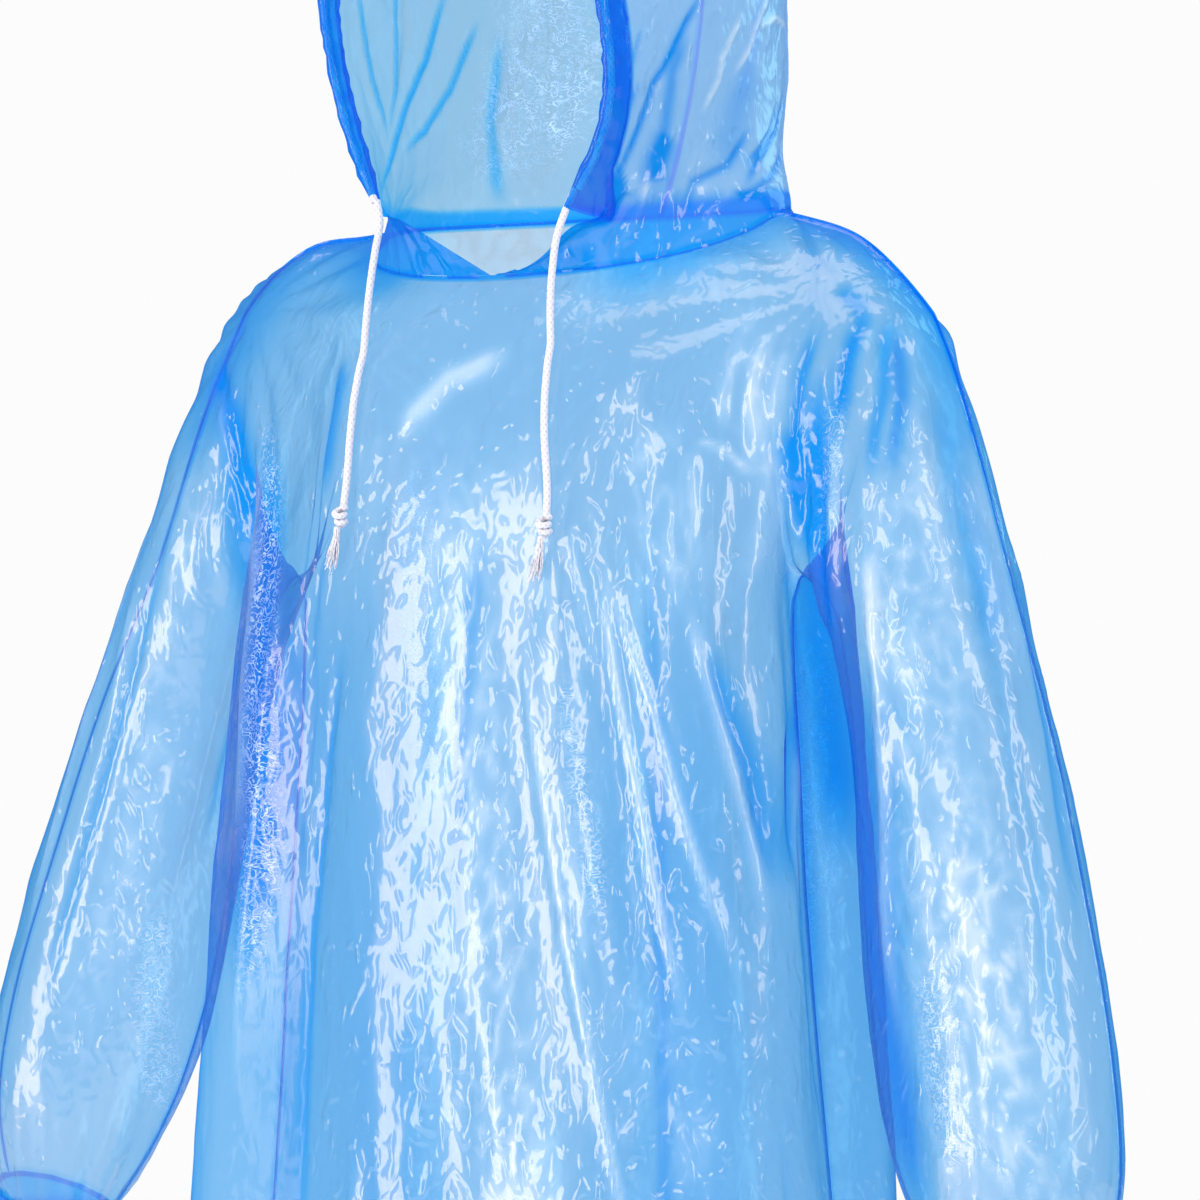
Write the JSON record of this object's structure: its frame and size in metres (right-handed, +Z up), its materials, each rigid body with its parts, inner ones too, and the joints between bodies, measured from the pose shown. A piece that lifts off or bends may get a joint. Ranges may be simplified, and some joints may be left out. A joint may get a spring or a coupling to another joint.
{
  "type": "hooded rain poncho",
  "caption": "Translucent film rain poncho, hollow as worn, with long sleeves in one with the body, gathered cuffs with frills, an open hem and a hood with a drawstring.",
  "frame": {"origin": "middle of the neck's base, level with the top of the shoulders, where the worn garment is carried", "axes": "+Z up, towards the hood's crown; the front faces -Y; the wearer's left is +X"},
  "size_m": [0.932, 0.4086, 1.448],
  "materials": {
    "blue_film": "thin translucent blue film, glossy and finely crinkled",
    "casing_film": "the same film in several layers, deeper blue, glossy and crinkled",
    "white_cord": "matt white cord"
  },
  "bodies": {
    "root": {"front_panel": "blue_film", "back_panel": "blue_film", "hood_panel_left": "blue_film", "hood_panel_right": "blue_film", "hood_casing": "casing_film", "cuff_left": "casing_film", "cuff_right": "casing_film", "drawstring_run": "white_cord", "drawstring_end_left": "white_cord", "drawstring_end_right": "white_cord", "knot_left": "white_cord", "knot_right": "white_cord", "tail_left": "white_cord", "tail_right": "white_cord"}
  },
  "joints": []
}
